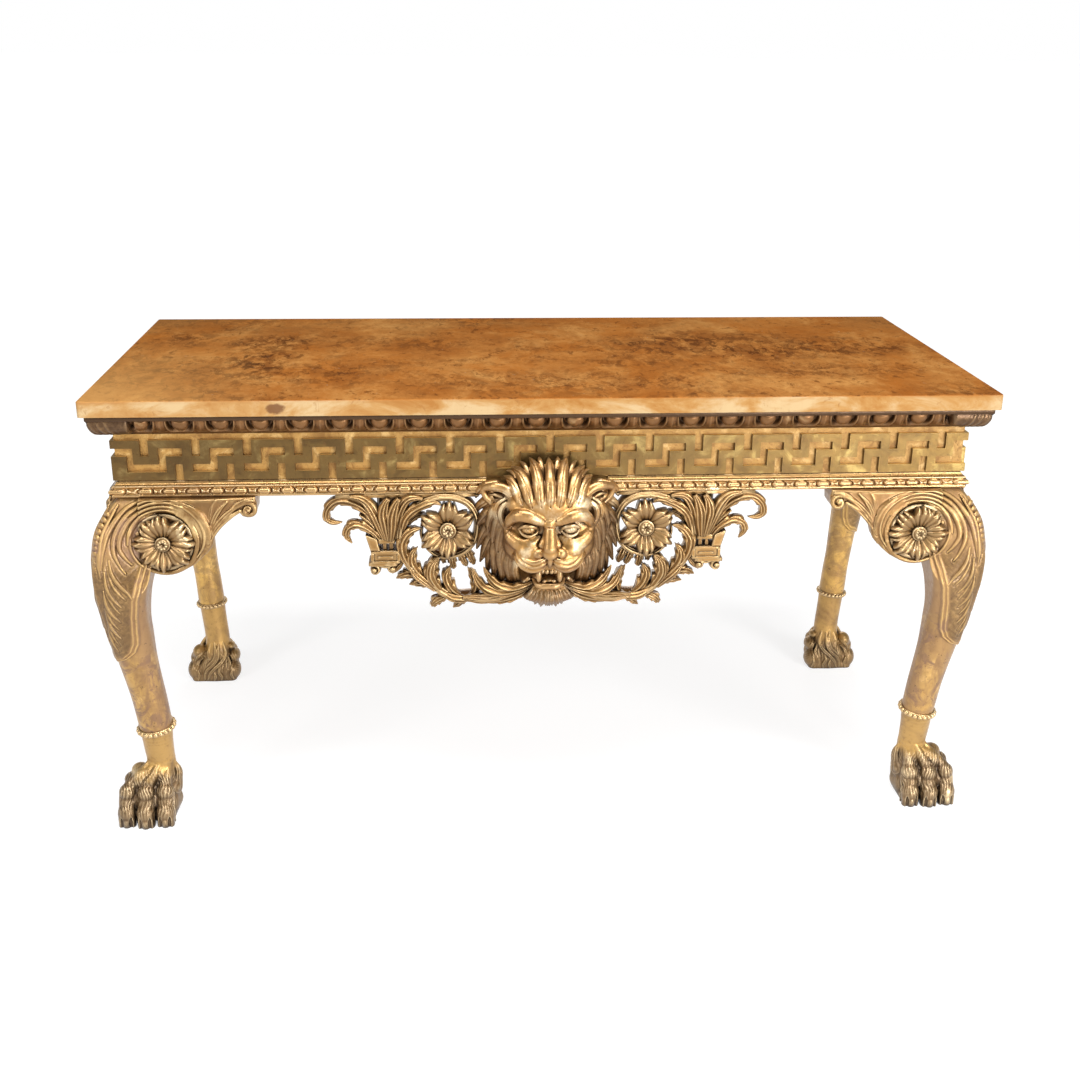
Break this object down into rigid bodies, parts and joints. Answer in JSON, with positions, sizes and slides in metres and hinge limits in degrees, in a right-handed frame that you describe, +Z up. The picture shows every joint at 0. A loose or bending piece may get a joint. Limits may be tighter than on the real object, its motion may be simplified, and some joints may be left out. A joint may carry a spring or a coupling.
{
  "type": "pier table",
  "caption": "Carved and gilded pier table with a loose marble slab, key-fret frieze, lion mask apron with pierced scrolls, and cabriole legs on paw feet.",
  "frame": {"origin": "on the floor under the middle of the overall box", "axes": "+X along the length to the right seen from the front, +Y to the back (wall side), +Z up"},
  "size_m": [1.656, 0.775, 0.855],
  "materials": {
    "marble": "polished",
    "gilt_fret": "aged gilding, bronze toned",
    "gilt_ground": "sanded gilt ground",
    "gilt_moulding": "aged gilding",
    "gilt_leg": "aged gilding, worn",
    "gilt_foot": "aged gilding, rubbed",
    "gilt_carving": "burnished gilding",
    "bare_pine": "aged bare softwood",
    "iron_screw": "dark iron"
  },
  "bodies": {
    "frame": {"apron_flower_left": "gilt_carving", "apron_flower_right": "gilt_carving", "apron_screws": "iron_screw", "apron_scroll_left": "gilt_carving", "apron_scroll_right": "gilt_carving", "bead_moulding_front_left": "gilt_moulding", "bead_moulding_front_right": "gilt_moulding", "bead_moulding_left": "gilt_moulding", "bead_moulding_right": "gilt_moulding", "brace_screws": "iron_screw", "bracket_front_left": "gilt_carving", "bracket_front_right": "gilt_carving", "bracket_screws": "iron_screw", "bracket_side_front_left": "gilt_carving", "bracket_side_front_right": "gilt_carving", "bracket_side_rear_left": "gilt_carving", "bracket_side_rear_right": "gilt_carving", "collar_front_left": "gilt_foot", "collar_front_right": "gilt_foot", "collar_rear_left": "gilt_foot", "collar_rear_right": "gilt_foot", "corner_brace_front_left": "bare_pine", "corner_brace_front_right": "bare_pine", "corner_brace_rear_left": "bare_pine", "corner_brace_rear_right": "bare_pine", "cross_bearer_left": "bare_pine", "cross_bearer_right": "bare_pine", "egg_moulding_front": "gilt_moulding", "egg_moulding_left": "gilt_moulding", "egg_moulding_right": "gilt_moulding", "foot_dowels": "bare_pine", "front_rail": "gilt_ground", "key_fret_front": "gilt_fret", "key_fret_left": "gilt_fret", "key_fret_right": "gilt_fret", "left_rail": "gilt_ground", "leg_front_left": "gilt_leg", "leg_front_right": "gilt_leg", "leg_rear_left": "gilt_leg", "leg_rear_right": "gilt_leg", "lion_mask": "gilt_carving", "mask_board": "bare_pine", "paw_front_left": "gilt_foot", "paw_front_right": "gilt_foot", "paw_rear_left": "gilt_foot", "paw_rear_right": "gilt_foot", "rear_rail": "bare_pine", "right_rail": "gilt_ground", "rosette_front_left": "gilt_carving", "rosette_front_right": "gilt_carving", "rosette_side_front_left": "gilt_carving", "rosette_side_front_right": "gilt_carving", "rosette_side_rear_left": "gilt_carving", "rosette_side_rear_right": "gilt_carving", "tenon_pegs": "bare_pine"},
    "slab": {"marble_top": "marble"}
  },
  "joints": [
    {"name": "slab_lift", "type": "slide", "parent": "frame", "child": "slab", "axis": [0, 0, 1], "range_m": [0, 0.1]}
  ]
}
